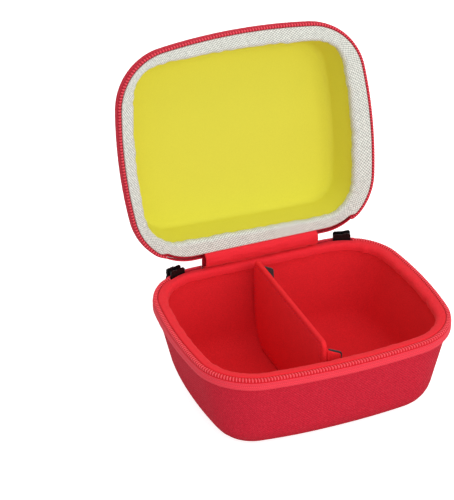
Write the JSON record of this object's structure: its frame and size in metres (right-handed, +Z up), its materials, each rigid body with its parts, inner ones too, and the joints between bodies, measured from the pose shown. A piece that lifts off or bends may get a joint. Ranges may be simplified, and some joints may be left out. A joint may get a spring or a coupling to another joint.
{
  "type": "card game carrying case",
  "caption": "Moulded fabric-faced zip case, shown open, with a recessed lining in the lid and a sliding divider between two card compartments.",
  "frame": {"origin": "middle of the flat bottom, on the surface that the case stands on", "axes": "+Z up, -Y the front where the case is unzipped, +Y the hinge side, +X to the right"},
  "size_m": [0.146, 0.1691, 0.1738],
  "materials": {
    "outer_fabric": "matte",
    "red_lining": "matte",
    "zipper_tape": "matte",
    "zipper_coil": "satin",
    "hinge_fabric": "matte",
    "yellow_lining": "matte",
    "grey_lining": "matte",
    "divider_fabric": "matte",
    "black_hook": "matte",
    "black_metal": "satin"
  },
  "bodies": {
    "base": {"base_shell": "outer_fabric", "base_lining": "red_lining", "base_lip": "red_lining", "base_zipper_tape": "zipper_tape", "base_zipper_coil": "zipper_coil", "hinge_strip_base": "hinge_fabric", "hinge_inner_lining": "red_lining", "slider_left": "black_metal", "slider_right": "black_metal"},
    "lid": {"lid_shell": "outer_fabric", "lid_lining": "yellow_lining", "lid_lip": "grey_lining", "lid_zipper_tape": "zipper_tape", "lid_zipper_coil": "zipper_coil", "hinge_strip_lid": "hinge_fabric"},
    "divider": {"divider_panel": "divider_fabric", "divider_front_tab": "divider_fabric", "divider_back_tab": "divider_fabric", "divider_front_hook": "black_hook", "divider_back_hook": "black_hook"},
    "left_pull": {"pull_left": "black_metal"},
    "right_pull": {"pull_right": "black_metal"}
  },
  "joints": [
    {"name": "lid_hinge", "type": "hinge", "parent": "base", "child": "lid", "pos_m": [0, 0.059, 0.0574], "axis": [1, 0, 0], "range_deg": [0, 105.3]},
    {"name": "divider_slide", "type": "slide", "parent": "base", "child": "divider", "axis": [1, 0, 0], "range_m": [-0.014, 0.022]},
    {"name": "left_pull_swing", "type": "hinge", "parent": "base", "child": "left_pull", "pos_m": [-0.05038, 0.06095, 0.0517], "axis": [0.9397, 0.342, 0], "range_deg": [-8, 70]},
    {"name": "right_pull_swing", "type": "hinge", "parent": "base", "child": "right_pull", "pos_m": [0.05038, 0.06095, 0.0517], "axis": [0.9397, -0.342, 0], "range_deg": [-8, 70]}
  ]
}
